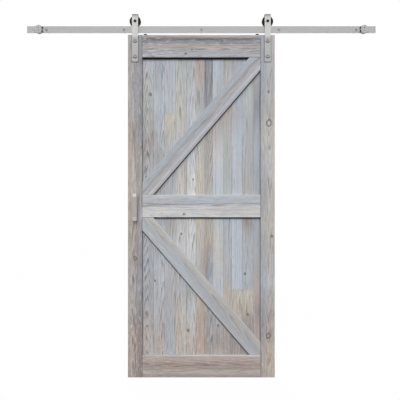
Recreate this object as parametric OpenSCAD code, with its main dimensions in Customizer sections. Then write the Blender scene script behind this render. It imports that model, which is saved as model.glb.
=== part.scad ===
// Sliding barn door on a flat wall track.
// Millimetres. X runs along the track, Y points into the wall, Z is up.
// The origin is on the wall, behind the middle track screw.

/* [Door leaf] */
// Width of the door leaf
door_w = 914.4; // [760:0.1:1100]
// Height of the door leaf
door_h = 2133.6; // [1900:0.1:2400]
// Width of each upright stile
stile_w = 88.9; // [76:0.1:120]
// Height of each cross rail
cross_w = 139.7; // [100:0.1:180]
// Height of the middle cross rail's centre above the foot of the door
middle_up = 1066.8; // [900:0.1:1200]
// Width of each slanting brace
brace_w = 104; // [80:1:130]
// Thickness of the boards planted on the front
board_t = 19; // [14:0.5:25]
// Bevel along the long front edges of those boards
board_bevel = 1.5; // [0.5:0.1:3]
// Open joint where two of those boards meet
board_gap = 0.8; // [0.2:0.1:2]

/* [Planks] */
// Thickness of the tongued planks behind the boards
plank_t = 19; // [15:0.5:25]
// Bevel along the edges of the planks
plank_bevel = 0.5; // [0.3:0.1:3]
// Open joint between two planks
plank_gap = 0.4; // [0.2:0.1:1.5]
// Length of a plank's tongue
tongue_l = 7; // [4:0.5:9]
// Thickness of a plank's tongue
tongue_t = 6; // [4:0.5:7]
// Height of the butt joint in the upper part of the door above its foot
butt_high = 1647; // [1300:1:1800]
// Height of the butt joint in the lower part of the door above its foot
butt_low = 544; // [300:1:800]

/* [Track] */
// Length of the flat track
track_l = 2176; // [2100:1:2600]
// Height of the flat track
track_h = 42; // [38:0.5:50]
// Thickness of the flat track
track_t = 6; // [5:0.5:8]
// Distance between two wall screws
screw_pitch = 484; // [400:1:500]
// Outer diameter of the spacers between track and wall
spacer_d = 22; // [18:0.5:26]
// Air between the back of the door and the wall
wall_gap = 10; // [6:0.5:30]
// Air between the track and the top of the door
door_drop = 14.7; // [12:0.1:25]

/* [Wall screws] */
// Diameter of a wall screw's smooth shank
shank_d = 7.4; // [6:0.1:9]
// Diameter over a wall screw's thread
thread_d = 8; // [6.4:0.1:10]
// Length of thread that goes into the wall
thread_l = 40; // [30:1:80]
// Width across the flats of the hexagon heads
hex_flats = 13; // [11:0.5:15]
// Height of the hexagon heads
hex_h = 5.3; // [4:0.1:6]

/* [Hangers] */
// Width of the steel strap
strap_w = 38; // [32:0.5:45]
// Thickness of the steel strap
strap_t = 5; // [4:0.5:6]
// Length of strap that lies on the door
strap_reach = 167; // [150:1:220]
// Distance of the upper strap bolt below the top of the door
strap_bolt_down = 35; // [25:1:45]
// Distance between the two strap bolts
strap_bolt_pitch = 97; // [70:1:100]
// Air between the rim of a wheel and the folded top of the strap
crown_gap = 5.4; // [4:0.1:10]
// Inner radius of the strap's two bends
bend_r = 5; // [4:0.5:5.5]
// Air between a wheel's side and the strap
wheel_side_gap = 1; // [0.5:0.1:3]

/* [Strap and handle bolts] */
// Diameter of the through bolts
bolt_d = 8; // [6:0.5:9]
// Diameter of the flat round bolt heads
bolt_head_d = 23; // [18:0.5:26]
// Height of the flat round bolt heads
bolt_head_h = 3.6; // [3:0.1:5]
// Width across the flats of the hexagon sockets
socket_flats = 6; // [4:0.5:8]
// Depth of the hexagon sockets
socket_depth = 2.4; // [1.5:0.1:2.8]
// Outer diameter of the sleeve nuts' barrels
sleeve_d = 10.5; // [10:0.1:12]
// Length of the sleeve nuts' barrels
sleeve_l = 16; // [12:1:20]
// Diameter of the sleeve nuts' heads
sleeve_head_d = 20; // [16:0.5:24]
// Height of the sleeve nuts' heads
sleeve_head_h = 3; // [2:0.1:4]

/* [Wheels] */
// Diameter of the wheels over their flanges
wheel_d = 70; // [66:0.5:80]
// Diameter at the bottom of the groove that runs on the track
groove_d = 57.5; // [52:0.5:60]
// Width of the wheels
wheel_w = 20; // [18:0.5:24]
// Air between the groove's sides and the track
groove_play = 1; // [0.5:0.1:2]
// Outer diameter of the ball bearings
bearing_od = 22; // [20:0.5:26]
// Width of the ball bearings
bearing_w = 7; // [6:0.5:8]
// Diameter of the axle bolts
axle_d = 8; // [6:0.5:9]
// Diameter of the bearing balls
ball_d = 3.97; // [3:0.01:4.2]
// Number of balls in a bearing
ball_n = 7; // [5:1:8]

/* [End stops] */
// Diameter of the round end stops
stop_d = 51; // [48:0.5:60]
// Distance of an end stop's centre from the end of the track
stop_inset = 74; // [40:1:120]
// Thickness of an end stop in front of the track
stop_front_t = 15; // [12:0.5:18]
// Thickness of an end stop behind the track
stop_rear_t = 8; // [5:0.5:8]
// Distance of the flat that carries the bumpers from the stop's centre
stop_flat = 20; // [16:0.5:22]
// Diameter of the rubber bumpers
bumper_d = 8; // [6:0.5:9]
// Length of a bumper that stands out of the stop
bumper_out = 6; // [4:0.5:8]
// Distance between the two bumpers of a stop
bumper_pitch = 24; // [18:0.5:26]
// Distance between the two clamping screws of a stop
clamp_pitch = 15; // [10:0.5:20]
// Diameter of the clamping screws
clamp_d = 6; // [5:0.5:8]

/* [Jump guards] */
// Diameter of the discs that keep the door from jumping off the track
guard_d = 21.5; // [18:0.5:23]
// Height of those discs
guard_h = 7; // [5:0.5:10]
// Distance of those discs from the middle of the door
guard_x = 349; // [250:1:355]
// Distance of those discs from the front of the door
guard_in = 12; // [11.5:0.1:12.5]

/* [Handle] */
// Length of the flat pull handle
handle_l = 175; // [160:1:300]
// Width of the flat pull handle
handle_w = 28; // [24:0.5:35]
// Thickness of the flat pull handle
handle_t = 6; // [4:0.5:10]
// Distance between the handle's two posts
handle_pitch = 146; // [120:1:148]
// Diameter of the handle's posts
post_d = 16; // [14:0.5:20]
// Length of the handle's posts
post_l = 28; // [25:0.5:45]
// Height of the handle's middle above the foot of the door
handle_up = 1062; // [900:1:1200]

/* [Fits] */
// Clearance around a bolt or screw in a plain hole
hole_play = 0.25; // [0.1:0.05:0.5]
// Clearance around a part that is pressed or screwed in
close_play = 0.05; // [0.02:0.01:0.1]
// Clearance around a tongue in its groove and around the track in an end stop
slide_play = 0.2; // [0.1:0.05:0.4]
// Clearance between the groove of a wheel and the track it rolls on
roll_play = 0.2; // [0.1:0.05:0.3]

/* [Hidden] */
$fn = 64;
eps = 1;

STEEL = [0.72, 0.72, 0.71];
DARK_STEEL = [0.2, 0.2, 0.21];
RUBBER = [0.07, 0.07, 0.07];
WHEEL_BLACK = [0.1, 0.1, 0.1];
WOOD = [0.66, 0.67, 0.68];
PLANK_WOOD = [0.68, 0.69, 0.71];

// Relative widths of the planks from left to right, which together fill the door
PLANK_MIX = [79, 79, 69, 67, 70, 58, 55, 50, 68, 51, 67, 71, 65, 65];
// Planks that are pieced together from a lower and an upper length
HIGH_BUTTS = [4];
LOW_BUTTS = [11, 12];

function sum_to(v, n) = n <= 0 ? 0 : v[n - 1] + sum_to(v, n - 1);
function has(v, x) = len([for (i = v) if (i == x) i]) > 0;

plank_n = len(PLANK_MIX);
plank_scale = door_w / sum_to(PLANK_MIX, plank_n);
function plank_edge(i) = -door_w / 2 + plank_scale * sum_to(PLANK_MIX, i);

// Places along Y, from the wall forward
half_track = track_t / 2;
leg_gap = wheel_w / 2 + wheel_side_gap;
door_t = board_t + plank_t;
spacer_l = door_t + wall_gap - leg_gap - half_track;
track_y = -(spacer_l + half_track);
track_back = track_y + half_track;
track_front = track_y - half_track;
door_front = track_y - leg_gap;
plank_front = door_front + board_t;
door_back = door_front + door_t;
strap_front = door_front - strap_t;
strap_mid = door_front - strap_t / 2;

// Heights, from the middle of the track
track_top = track_h / 2;
door_top = -track_h / 2 - door_drop;
foot = door_top - door_h;
axle_z = track_top + groove_d / 2 + roll_play;
crown_z = axle_z + wheel_d / 2 + crown_gap;
middle_z = foot + middle_up;
handle_z = foot + handle_up;
strap_bolts_z = [door_top - strap_bolt_down, door_top - strap_bolt_down - strap_bolt_pitch];
handle_bolts_z = [handle_z - handle_pitch / 2, handle_z + handle_pitch / 2];

// Places along X
inner_x = door_w / 2 - stile_w;
stile_x = door_w / 2 - stile_w / 2;
stop_x = track_l / 2 - stop_inset;
screw_n = 5;

// Every hole through the wood of the door, as its place along X and its height
LEAF_HOLES = concat(
    [for (s = [-1, 1], z = strap_bolts_z) [s * stile_x, z]],
    [for (z = handle_bolts_z) [-stile_x, z]]
);
leaf_hole_d = sleeve_d + 2 * hole_play;

// The holes of the track and of the spacers let the thread of a wall screw through
wall_hole_d = max(thread_d, shank_d) + 2 * hole_play;

SPACERS = [for (i = [1:screw_n]) str("spacer_", i)];
PLANKS = [for (i = [1:plank_n]) str("plank_", i)];
PLANK_TOPS = [for (i = concat(HIGH_BUTTS, LOW_BUTTS)) str("plank_", i, "_top")];

// Turns what is drawn upwards so that it runs into the wall
module into_wall() {
    rotate([-90, 0, 0]) children();
}

// A round shape from radius and height pairs, turned about an axis into the wall
module turned(points) {
    into_wall() rotate_extrude() polygon(points);
}

// A cylinder with its axis into the wall, from y0 to y1
module rod(d, y0, y1) {
    translate([0, y0, 0]) into_wall() cylinder(d = d, h = y1 - y0);
}

// A hexagon with its axis into the wall, from y0 to y1
module hexagon(flats, y0, y1) {
    translate([0, y0, 0]) into_wall() cylinder(d = flats / cos(30), h = y1 - y0, $fn = 6);
}

// The section of a planted board: across runs upwards, its bevelled face looks forward
module board_section(across) {
    polygon([
        [0, board_bevel], [board_bevel, 0],
        [board_t, 0], [board_t, across],
        [board_bevel, across], [0, across - board_bevel]
    ]);
}

// A planted board that lies along X from its lower left corner
module lying_board(length, across) {
    rotate([90, 0, 90]) linear_extrude(length) board_section(across);
}

// A planted board that stands along Z from its lower left corner
module standing_board(length, across) {
    translate([across, 0, 0]) rotate([0, -90, 0]) lying_board(length, across);
}

module leaf_holes(x0, x1) {
    for (h = LEAF_HOLES)
        if (h[0] + leaf_hole_d > x0 && h[0] - leaf_hole_d < x1)
            translate([h[0], 0, h[1]]) rod(leaf_hole_d, door_front - eps, door_back + eps);
}

module stile(side) {
    x0 = side < 0 ? -door_w / 2 : inner_x;
    color(WOOD) difference() {
        translate([x0, door_front, foot]) standing_board(door_h, stile_w);
        leaf_holes(x0, x0 + stile_w);
    }
}

module cross_rail(z) {
    length = 2 * inner_x - 2 * board_gap;
    color(WOOD)
        translate([-length / 2, door_front, z - cross_w / 2]) lying_board(length, cross_w);
}

module top_rail() {
    color(WOOD) difference() {
        cross_rail(door_top - cross_w / 2);
        for (s = [-1, 1])
            translate([s * guard_x, door_front + guard_in, door_top - guard_screw_l])
                cylinder(d = guard_screw_d + 2 * close_play, h = guard_screw_l + eps);
    }
}

// A brace that runs from corner to corner of the window between z0 and z1
module brace(z0, z1, rise) {
    width = 2 * (inner_x - board_gap);
    height = z1 - z0 - 2 * board_gap;
    angle = atan2(height, width);
    long = norm([width, height]) + 2 * brace_w;
    color(WOOD) intersection() {
        translate([0, door_front, (z0 + z1) / 2])
            rotate([0, -rise * angle, 0])
                translate([-long / 2, 0, -brace_w / 2]) lying_board(long, brace_w);
        translate([-width / 2, door_front - eps, z0 + board_gap])
            cube([width, board_t + eps, height]);
    }
}

// The section of plank i seen from above, with its groove on the left and its tongue on the right
module plank_section(i) {
    x0 = plank_edge(i - 1) + (i == 1 ? 0 : plank_gap / 2);
    x1 = plank_edge(i) - (i == plank_n ? 0 : plank_gap / 2);
    mid = (plank_front + door_back) / 2;
    slot_l = tongue_l - plank_gap + slide_play;
    slot_t = tongue_t + 2 * slide_play;
    difference() {
        union() {
            polygon([
                [x0, plank_front + plank_bevel], [x0 + plank_bevel, plank_front],
                [x1 - plank_bevel, plank_front], [x1, plank_front + plank_bevel],
                [x1, door_back - plank_bevel], [x1 - plank_bevel, door_back],
                [x0 + plank_bevel, door_back], [x0, door_back - plank_bevel]
            ]);
            if (i < plank_n)
                translate([x1 - eps, mid - tongue_t / 2]) square([tongue_l + eps, tongue_t]);
        }
        if (i > 1)
            translate([x0 - eps, mid - slot_t / 2]) square([slot_l + eps, slot_t]);
    }
}

module plank_length(i, up0, up1) {
    color(PLANK_WOOD) difference() {
        translate([0, 0, foot + up0]) linear_extrude(up1 - up0) plank_section(i);
        leaf_holes(plank_edge(i - 1), plank_edge(i) + tongue_l);
    }
}

function butt_of(i) = has(HIGH_BUTTS, i) ? butt_high : butt_low;
function pieced(i) = has(HIGH_BUTTS, i) || has(LOW_BUTTS, i);

module plank(i) {
    plank_length(i, 0, pieced(i) ? butt_of(i) - plank_gap / 2 : door_h);
}

module plank_top(i) {
    plank_length(i, butt_of(i) + plank_gap / 2, door_h);
}

// The flat bar of the track with a hole for each wall screw
module track() {
    color(STEEL) difference() {
        translate([-track_l / 2, track_front, -track_h / 2]) cube([track_l, track_t, track_h]);
        for (i = [1:screw_n])
            translate([screw_at(i), 0, 0])
                rod(wall_hole_d, track_front - eps, track_back + eps);
    }
}

function screw_at(i) = (i - (screw_n + 1) / 2) * screw_pitch;

spacer_edge = 1;

module spacer(i) {
    bore_r = wall_hole_d / 2;
    color(STEEL) translate([screw_at(i), track_back, 0]) turned([
        [bore_r, 0], [spacer_d / 2 - spacer_edge, 0], [spacer_d / 2, spacer_edge],
        [spacer_d / 2, spacer_l - spacer_edge], [spacer_d / 2 - spacer_edge, spacer_l],
        [bore_r, spacer_l]
    ]);
}

screw_point = 9;
washer_d = 16;
washer_h = 1.2;

// Hexagon wood screws with a flanged head, a smooth shank and a thread that ends in a point
module wall_screws() {
    color(STEEL) for (i = [1:screw_n]) translate([screw_at(i), 0, 0]) {
        hexagon(hex_flats, track_front - washer_h - hex_h, track_front - washer_h);
        rod(washer_d, track_front - washer_h, track_front);
        rod(shank_d, track_front - eps, eps);
        turned([
            [0, 0], [thread_d / 2, 0], [thread_d / 2, thread_l - screw_point], [0, thread_l]
        ]);
    }
}

stop_edge = 2;
grub_l = 8;
grub_socket_flats = 3;
grub_socket_depth = 3;
stem_d = 6;
stem_l = 5;

// A round block that is slotted over the track and flat on the side of the door
module end_stop(side) {
    y0 = track_front - stop_front_t;
    y1 = track_back + stop_rear_t;
    color(STEEL) difference() {
        translate([side * stop_x, y0, 0]) turned([
            [0, 0], [stop_d / 2 - stop_edge, 0], [stop_d / 2, stop_edge],
            [stop_d / 2, y1 - y0 - stop_edge], [stop_d / 2 - stop_edge, y1 - y0], [0, y1 - y0]
        ]);
        translate([side * stop_x - stop_d, track_front - slide_play, -track_top - slide_play])
            cube([2 * stop_d, track_t + 2 * slide_play, track_h + 2 * slide_play]);
        translate([side * (stop_x - stop_flat - stop_d / 2), 0, 0])
            cube([stop_d, 2 * (spacer_l + stop_d), 2 * stop_d], center = true);
        for (z = [-clamp_pitch / 2, clamp_pitch / 2])
            translate([side * stop_x, 0, z]) rod(clamp_d + 2 * close_play, y0 - eps, track_y);
        at_bumpers(side)
            cylinder(d = stem_d + 2 * close_play, h = stem_l + slide_play);
    }
}

// Places each child at a bumper's seat, with its axis away from the door
module at_bumpers(side) {
    for (z = [-bumper_pitch / 2, bumper_pitch / 2])
        translate([side * (stop_x - stop_flat), strap_mid, z])
            rotate([0, side * 90, 0])
                children();
}

bumper_round = 2;

// Two rubber buttons that are pushed into the flat of an end stop
module bumpers(side) {
    color(RUBBER) at_bumpers(side) rotate_extrude() {
        polygon([
            [0, -bumper_out], [bumper_d / 2 - bumper_round, -bumper_out],
            [bumper_d / 2 - bumper_round, bumper_round - bumper_out],
            [bumper_d / 2, bumper_round - bumper_out], [bumper_d / 2, 0],
            [stem_d / 2, 0], [stem_d / 2, stem_l], [0, stem_l]
        ]);
        translate([bumper_d / 2 - bumper_round, bumper_round - bumper_out])
            intersection() {
                circle(bumper_round);
                translate([0, -bumper_round]) square(bumper_round);
            }
    }
}

// Headless screws that clamp the end stops on the track
module clamp_screws() {
    color(DARK_STEEL)
        for (s = [-1, 1], z = [-clamp_pitch / 2, clamp_pitch / 2])
            translate([s * stop_x, 0, z]) difference() {
                rod(clamp_d, track_front - grub_l, track_front);
                hexagon(grub_socket_flats, track_front - grub_l - eps,
                        track_front - grub_l + grub_socket_depth);
            }
}

// The strap from the side, as Y and Z: two legs joined by a folded top
module strap_section() {
    half = leg_gap + strap_t;
    outer_r = bend_r + strap_t;
    top = crown_z + strap_t;
    leg_end = axle_z - strap_w / 2;
    difference() {
        union() {
            translate([track_y - half, door_top - strap_reach])
                square([2 * half, top - outer_r - door_top + strap_reach]);
            translate([track_y - half + outer_r, top - 2 * outer_r])
                square([2 * (half - outer_r), 2 * outer_r]);
            for (s = [-1, 1])
                translate([track_y + s * (half - outer_r), top - outer_r]) circle(outer_r);
        }
        union() {
            translate([track_y - leg_gap, door_top - strap_reach - eps])
                square([2 * leg_gap, crown_z - bend_r - door_top + strap_reach + eps]);
            translate([track_y - leg_gap + bend_r, crown_z - 2 * bend_r])
                square([2 * (leg_gap - bend_r), 2 * bend_r]);
            for (s = [-1, 1])
                translate([track_y + s * (leg_gap - bend_r), crown_z - bend_r]) circle(bend_r);
        }
        translate([track_y, door_top - strap_reach - eps])
            square([half + eps, leg_end - door_top + strap_reach + eps]);
    }
}

strap_corner = 3;

// The outline of the strap's end on the door, with its corners rounded off
module strap_front_outline() {
    bottom = door_top - strap_reach;
    translate([-strap_w / 2, bottom + strap_corner])
        square([strap_w, crown_z + 2 * strap_t - bottom]);
    translate([-strap_w / 2 + strap_corner, bottom])
        square([strap_w - 2 * strap_corner, 2 * strap_corner]);
    for (s = [-1, 1])
        translate([s * (strap_w / 2 - strap_corner), bottom + strap_corner])
            circle(strap_corner);
}

// A steel strap that is folded over its wheel and bolted to the door
module hanger(side) {
    color(STEEL) translate([side * stile_x, 0, 0]) difference() {
        intersection() {
            translate([-strap_w / 2, 0, 0])
                rotate([90, 0, 90]) linear_extrude(strap_w) strap_section();
            translate([0, strap_front - eps, 0])
                rotate([90, 0, 0]) mirror([0, 0, 1])
                    linear_extrude(2 * (leg_gap + strap_t + eps)) strap_front_outline();
        }
        translate([0, 0, axle_z]) rod(axle_d + 2 * hole_play, 2 * track_y, eps);
        for (z = strap_bolts_z)
            translate([0, 0, z])
                rod(bolt_d + 2 * hole_play, strap_front - eps, door_front + eps);
        // The leg behind the track ends in a half round about the axle
        translate([0, track_y + leg_gap - eps, axle_z]) difference() {
            translate([-strap_w, 0, -strap_w]) cube([2 * strap_w, strap_t + 2 * eps, strap_w]);
            rod(strap_w, -eps, strap_t + 3 * eps);
        }
    }
}

bolt_edge = 1.2;

// A flat round bolt head in front of y, with a hexagon socket, on a shank that ends at y1
module round_bolt(y, y1) {
    difference() {
        union() {
            translate([0, y - bolt_head_h, 0]) turned([
                [0, 0], [bolt_head_d / 2 - bolt_edge, 0], [bolt_head_d / 2, bolt_edge],
                [bolt_head_d / 2, bolt_head_h], [0, bolt_head_h]
            ]);
            rod(bolt_d, y - eps, y1);
        }
        hexagon(socket_flats, y - bolt_head_h - eps, y - bolt_head_h + socket_depth);
    }
}

// A sleeve nut whose head lies on the back of the door
module sleeve_nut() {
    difference() {
        union() {
            translate([0, door_back, 0]) turned([
                [0, 0], [sleeve_head_d / 2, 0], [sleeve_head_d / 2, sleeve_head_h - bolt_edge],
                [sleeve_head_d / 2 - bolt_edge, sleeve_head_h], [0, sleeve_head_h]
            ]);
            rod(sleeve_d, door_back - sleeve_l, door_back + eps);
        }
        rod(bolt_d + 2 * close_play, door_back - sleeve_l - eps, door_back - eps);
        hexagon(socket_flats, door_back + sleeve_head_h - socket_depth,
                door_back + sleeve_head_h + eps);
    }
}

bolt_end = door_back - sleeve_head_h;

module strap_bolts() {
    color(STEEL) for (s = [-1, 1], z = strap_bolts_z)
        translate([s * stile_x, 0, z]) round_bolt(strap_front, bolt_end);
}

module strap_nuts() {
    color(STEEL) for (s = [-1, 1], z = strap_bolts_z)
        translate([s * stile_x, 0, z]) sleeve_nut();
}

nut_h = 8;
axle_tip = 2;
axle_flange_d = 18;
axle_flange_h = 1.8;

// Bolts whose hexagon head has a round flange that lies on the strap
module axle_bolts() {
    flange_front = strap_front - axle_flange_h;
    color(DARK_STEEL) for (s = [-1, 1]) translate([s * stile_x, 0, axle_z]) {
        hexagon(hex_flats, flange_front - hex_h, flange_front);
        rod(axle_flange_d, flange_front, strap_front);
        rod(axle_d, strap_front - eps, track_y + leg_gap + strap_t + nut_h + axle_tip);
    }
}

module axle_nuts() {
    y = track_y + leg_gap + strap_t;
    color(DARK_STEEL) for (s = [-1, 1]) translate([s * stile_x, 0, axle_z]) difference() {
        hexagon(hex_flats, y, y + nut_h);
        rod(axle_d + 2 * close_play, y - eps, y + nut_h + eps);
    }
}

bush_wall = 2;

// Bushes that hold the inner ring of each bearing in the middle between the strap's legs
module axle_bushes() {
    long = leg_gap - bearing_w / 2;
    color(STEEL) for (s = [-1, 1], y = [track_y - leg_gap, track_y + bearing_w / 2])
        translate([s * stile_x, 0, axle_z]) difference() {
            rod(axle_d + 2 * bush_wall, y, y + long);
            rod(axle_d + 2 * close_play, y - eps, y + long + eps);
        }
}

ring_wall = 2;
ball_play = 0.1;
inner_ring_r = axle_d / 2 + close_play;
ball_path_r = (inner_ring_r + bearing_od / 2) / 2;

// One ring of a ball bearing between radius r0 and r1, with a rounded track for the balls
module bearing_ring(r0, r1) {
    into_wall() rotate_extrude() difference() {
        translate([r0, -bearing_w / 2]) square([r1 - r0, bearing_w]);
        translate([ball_path_r, 0]) circle(ball_d / 2 + ball_play);
    }
}

module at_wheel(side) {
    translate([side * stile_x, track_y, axle_z]) children();
}

module bearing_inner(side) {
    color(STEEL) at_wheel(side) bearing_ring(inner_ring_r, inner_ring_r + ring_wall);
}

module bearing_outer(side) {
    color(STEEL) at_wheel(side) bearing_ring(bearing_od / 2 - ring_wall, bearing_od / 2);
}

module bearing_balls(side) {
    color(STEEL) at_wheel(side)
        for (i = [1:ball_n])
            rotate([0, i * 360 / ball_n, 0]) translate([ball_path_r, 0, 0]) sphere(d = ball_d);
}

hub_wall = 4;
web_in = 3.5;
rim_wall = 3;
flange_edge = 1.5;
flange_land = 3;
shoulder = 1.4;
shoulder_w = 2;

// A grooved wheel with dished sides, a hub that holds the bearing and a shoulder behind it
module wheel(side) {
    bore_r = bearing_od / 2 + close_play;
    seat = bearing_w / 2;
    hub_half = seat + shoulder_w;
    hub_r = bore_r + hub_wall;
    rim_r = groove_d / 2 - rim_wall;
    web_half = wheel_w / 2 - web_in;
    groove_half = half_track + groove_play;
    color(WHEEL_BLACK) at_wheel(side) turned([
        [bore_r, -hub_half], [hub_r, -hub_half], [hub_r + web_in, -web_half],
        [rim_r - web_in, -web_half], [rim_r, -wheel_w / 2],
        [wheel_d / 2 - flange_edge, -wheel_w / 2], [wheel_d / 2, flange_edge - wheel_w / 2],
        [wheel_d / 2, flange_land - wheel_w / 2], [groove_d / 2, -groove_half],
        [groove_d / 2, groove_half], [wheel_d / 2, wheel_w / 2 - flange_land],
        [wheel_d / 2, wheel_w / 2 - flange_edge], [wheel_d / 2 - flange_edge, wheel_w / 2],
        [rim_r, wheel_w / 2], [rim_r - web_in, web_half], [hub_r + web_in, web_half],
        [hub_r, hub_half], [bore_r - shoulder, hub_half], [bore_r - shoulder, seat],
        [bore_r, seat]
    ]);
}

guard_screw_d = 4;
guard_screw_l = 26;
guard_head_d = 8;
guard_edge = 1;

module at_guard(side) {
    translate([side * guard_x, door_front + guard_in, door_top]) children();
}

// A low disc on the door's top edge that stays just under the track
module guard_disc(side) {
    hole_r = guard_screw_d / 2 + hole_play;
    sink = guard_head_d / 2 - guard_screw_d / 2;
    color(RUBBER) at_guard(side) rotate_extrude() polygon([
        [hole_r, 0], [guard_d / 2, 0], [guard_d / 2, guard_h - guard_edge],
        [guard_d / 2 - guard_edge, guard_h], [guard_head_d / 2 + hole_play, guard_h],
        [hole_r, guard_h - sink]
    ]);
}

module guard_screws() {
    sink = guard_head_d / 2 - guard_screw_d / 2;
    color(DARK_STEEL) for (s = [-1, 1]) at_guard(s) rotate_extrude() polygon([
        [0, -guard_screw_l], [guard_screw_d / 2, guard_screw_d - guard_screw_l],
        [guard_screw_d / 2, guard_h - sink], [guard_head_d / 2, guard_h], [0, guard_h]
    ]);
}

handle_back = door_front - post_l;
handle_corner = 3;

module handle_bar() {
    color(STEEL) translate([-stile_x, 0, 0]) difference() {
        translate([0, handle_back, handle_z]) rotate([90, 0, 0]) linear_extrude(handle_t) {
            square([handle_w - 2 * handle_corner, handle_l], center = true);
            square([handle_w, handle_l - 2 * handle_corner], center = true);
            for (s = [-1, 1], t = [-1, 1])
                translate([s * (handle_w / 2 - handle_corner), t * (handle_l / 2 - handle_corner)])
                    circle(handle_corner);
        }
        for (z = handle_bolts_z)
            translate([0, 0, z])
                rod(bolt_d + 2 * hole_play, handle_back - handle_t - eps, handle_back + eps);
    }
}

module handle_post(z) {
    color(STEEL) translate([-stile_x, 0, z]) difference() {
        rod(post_d, handle_back, door_front);
        rod(bolt_d + 2 * hole_play, handle_back - eps, door_front + eps);
    }
}

module handle_bolts() {
    color(STEEL) for (z = handle_bolts_z)
        translate([-stile_x, 0, z]) round_bolt(handle_back - handle_t, bolt_end);
}

module handle_nuts() {
    color(STEEL) for (z = handle_bolts_z) translate([-stile_x, 0, z]) sleeve_nut();
}

track();
wall_screws();
end_stop(-1);  // end_stop_left
end_stop(1);  // end_stop_right
bumpers(-1);  // bumpers_left
bumpers(1);  // bumpers_right
clamp_screws();
for (i = [1:screw_n])
    spacer(i);
stile(-1);  // left_stile
stile(1);  // right_stile
top_rail();
cross_rail(middle_z);  // middle_rail
cross_rail(foot + cross_w / 2);  // bottom_rail
brace(middle_z + cross_w / 2, door_top - cross_w, 1);  // upper_brace
brace(foot + cross_w, middle_z - cross_w / 2, -1);  // lower_brace
for (i = [1:plank_n])
    plank(i);
for (i = concat(HIGH_BUTTS, LOW_BUTTS))
    plank_top(i);
hanger(-1);  // hanger_left
hanger(1);  // hanger_right
strap_bolts();
strap_nuts();
axle_bolts();
axle_nuts();
axle_bushes();
bearing_inner(-1);  // bearing_inner_left
bearing_inner(1);  // bearing_inner_right
guard_disc(-1);  // guard_disc_left
guard_disc(1);  // guard_disc_right
guard_screws();
handle_bar();
handle_post(handle_bolts_z[1]);  // handle_post_upper
handle_post(handle_bolts_z[0]);  // handle_post_lower
handle_bolts();
handle_nuts();
wheel(-1);  // wheel_left
wheel(1);  // wheel_right
bearing_outer(-1);  // bearing_outer_left
bearing_outer(1);  // bearing_outer_right
bearing_balls(-1);  // bearing_balls_left
bearing_balls(1);  // bearing_balls_right
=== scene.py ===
"""Finishes a sliding barn door in weathered wood, with its track and hangers in brushed steel."""

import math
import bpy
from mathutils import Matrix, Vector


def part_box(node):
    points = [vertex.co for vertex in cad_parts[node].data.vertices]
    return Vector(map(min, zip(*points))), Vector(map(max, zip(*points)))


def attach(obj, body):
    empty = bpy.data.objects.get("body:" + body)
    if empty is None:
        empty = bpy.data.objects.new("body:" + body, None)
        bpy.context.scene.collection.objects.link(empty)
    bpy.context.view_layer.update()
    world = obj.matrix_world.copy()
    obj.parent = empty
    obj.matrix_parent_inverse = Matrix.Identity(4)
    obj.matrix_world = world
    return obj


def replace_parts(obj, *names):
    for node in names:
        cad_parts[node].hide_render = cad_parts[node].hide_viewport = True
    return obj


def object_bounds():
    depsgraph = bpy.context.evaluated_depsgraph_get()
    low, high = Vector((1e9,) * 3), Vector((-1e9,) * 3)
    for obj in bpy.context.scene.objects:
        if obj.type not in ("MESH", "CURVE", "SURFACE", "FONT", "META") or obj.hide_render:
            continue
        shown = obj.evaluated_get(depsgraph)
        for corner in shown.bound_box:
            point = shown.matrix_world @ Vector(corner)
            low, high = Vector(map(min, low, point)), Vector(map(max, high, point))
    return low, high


bl_info = {
    "name": "Sliding Barn Door",
    "version": (1, 0, 0),
    "blender": (4, 5, 0),
    "location": "3D View > Sidebar > Barn Door",
    "description": "Finishes a plank barn door, its wall track and its wheel hangers",
    "category": "Object",
}

import bmesh
import bpy
from bpy.props import FloatProperty, FloatVectorProperty, IntProperty, PointerProperty
from mathutils import Euler, Matrix, Vector

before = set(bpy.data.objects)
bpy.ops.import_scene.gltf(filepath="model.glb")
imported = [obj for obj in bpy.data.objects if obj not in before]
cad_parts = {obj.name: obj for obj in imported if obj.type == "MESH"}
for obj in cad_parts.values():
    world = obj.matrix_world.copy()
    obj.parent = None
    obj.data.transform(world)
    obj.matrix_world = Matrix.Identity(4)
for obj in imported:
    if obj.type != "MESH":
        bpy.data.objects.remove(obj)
CAD_BOX = [list(corner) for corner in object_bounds()]

MM = 0.001

# Patterns in the wood, each as its size in metres along the grain, into it and across it, with
# the detail and the roughness of its noise
DRIFT = ((1.4, 0.2, 0.12), 2.0, 0.5)
BROAD = ((0.55, 0.05, 0.030), 2.0, 0.5)
STREAKS = (
    ((0.60, 0.02, 0.014), 2.0, 0.6), ((0.50, 0.02, 0.024), 2.0, 0.6),
    ((0.80, 0.02, 0.038), 2.0, 0.6))
HAIR = ((0.40, 0.02, 0.0050), 2.0, 0.6)
BLOT = ((0.13, 0.02, 0.014), 4.0, 0.62)
FLECK = ((0.050, 0.012, 0.0085), 3.0, 0.62)
FIBRE = ((0.05, 0.0016, 0.0011), 3.0, 0.6)
PORE = ((0.011, 0.0011, 0.0006), 1.0, 0.5)

# Metres between two boards' grains, so that no two boards are cut from the same place
SEED_STEP = 1.37
STREAK_STEP = 5

# Lengths of the brush lines in metres, and the height of all fine lines in steel
TRACK_BRUSH, STRAP_BRUSH, HANDLE_BRUSH = 0.09, 0.05, 0.06
STEEL_RELIEF = 0.004 * MM
MOULD_RELIEF = 0.06 * MM

# The wall screws' threads: how deep the ridge sinks in and how wide it is as a share of the
# pitch, in how many turns it rises and fades out, and how thin it is left at the point
RIDGE_SINK, RIDGE_HALF = 0.4 * MM, 0.20
TURNS_IN, TURNS_OUT, THINNEST = 0.7, 1.6, 0.08
THREAD_START, THREAD_STOP = 1.5 * MM, 2.5 * MM
HEAD_ROUNDING = 0.5 * MM
CORE_STEPS = 32
SMALL_FACE = 6e-7

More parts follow.
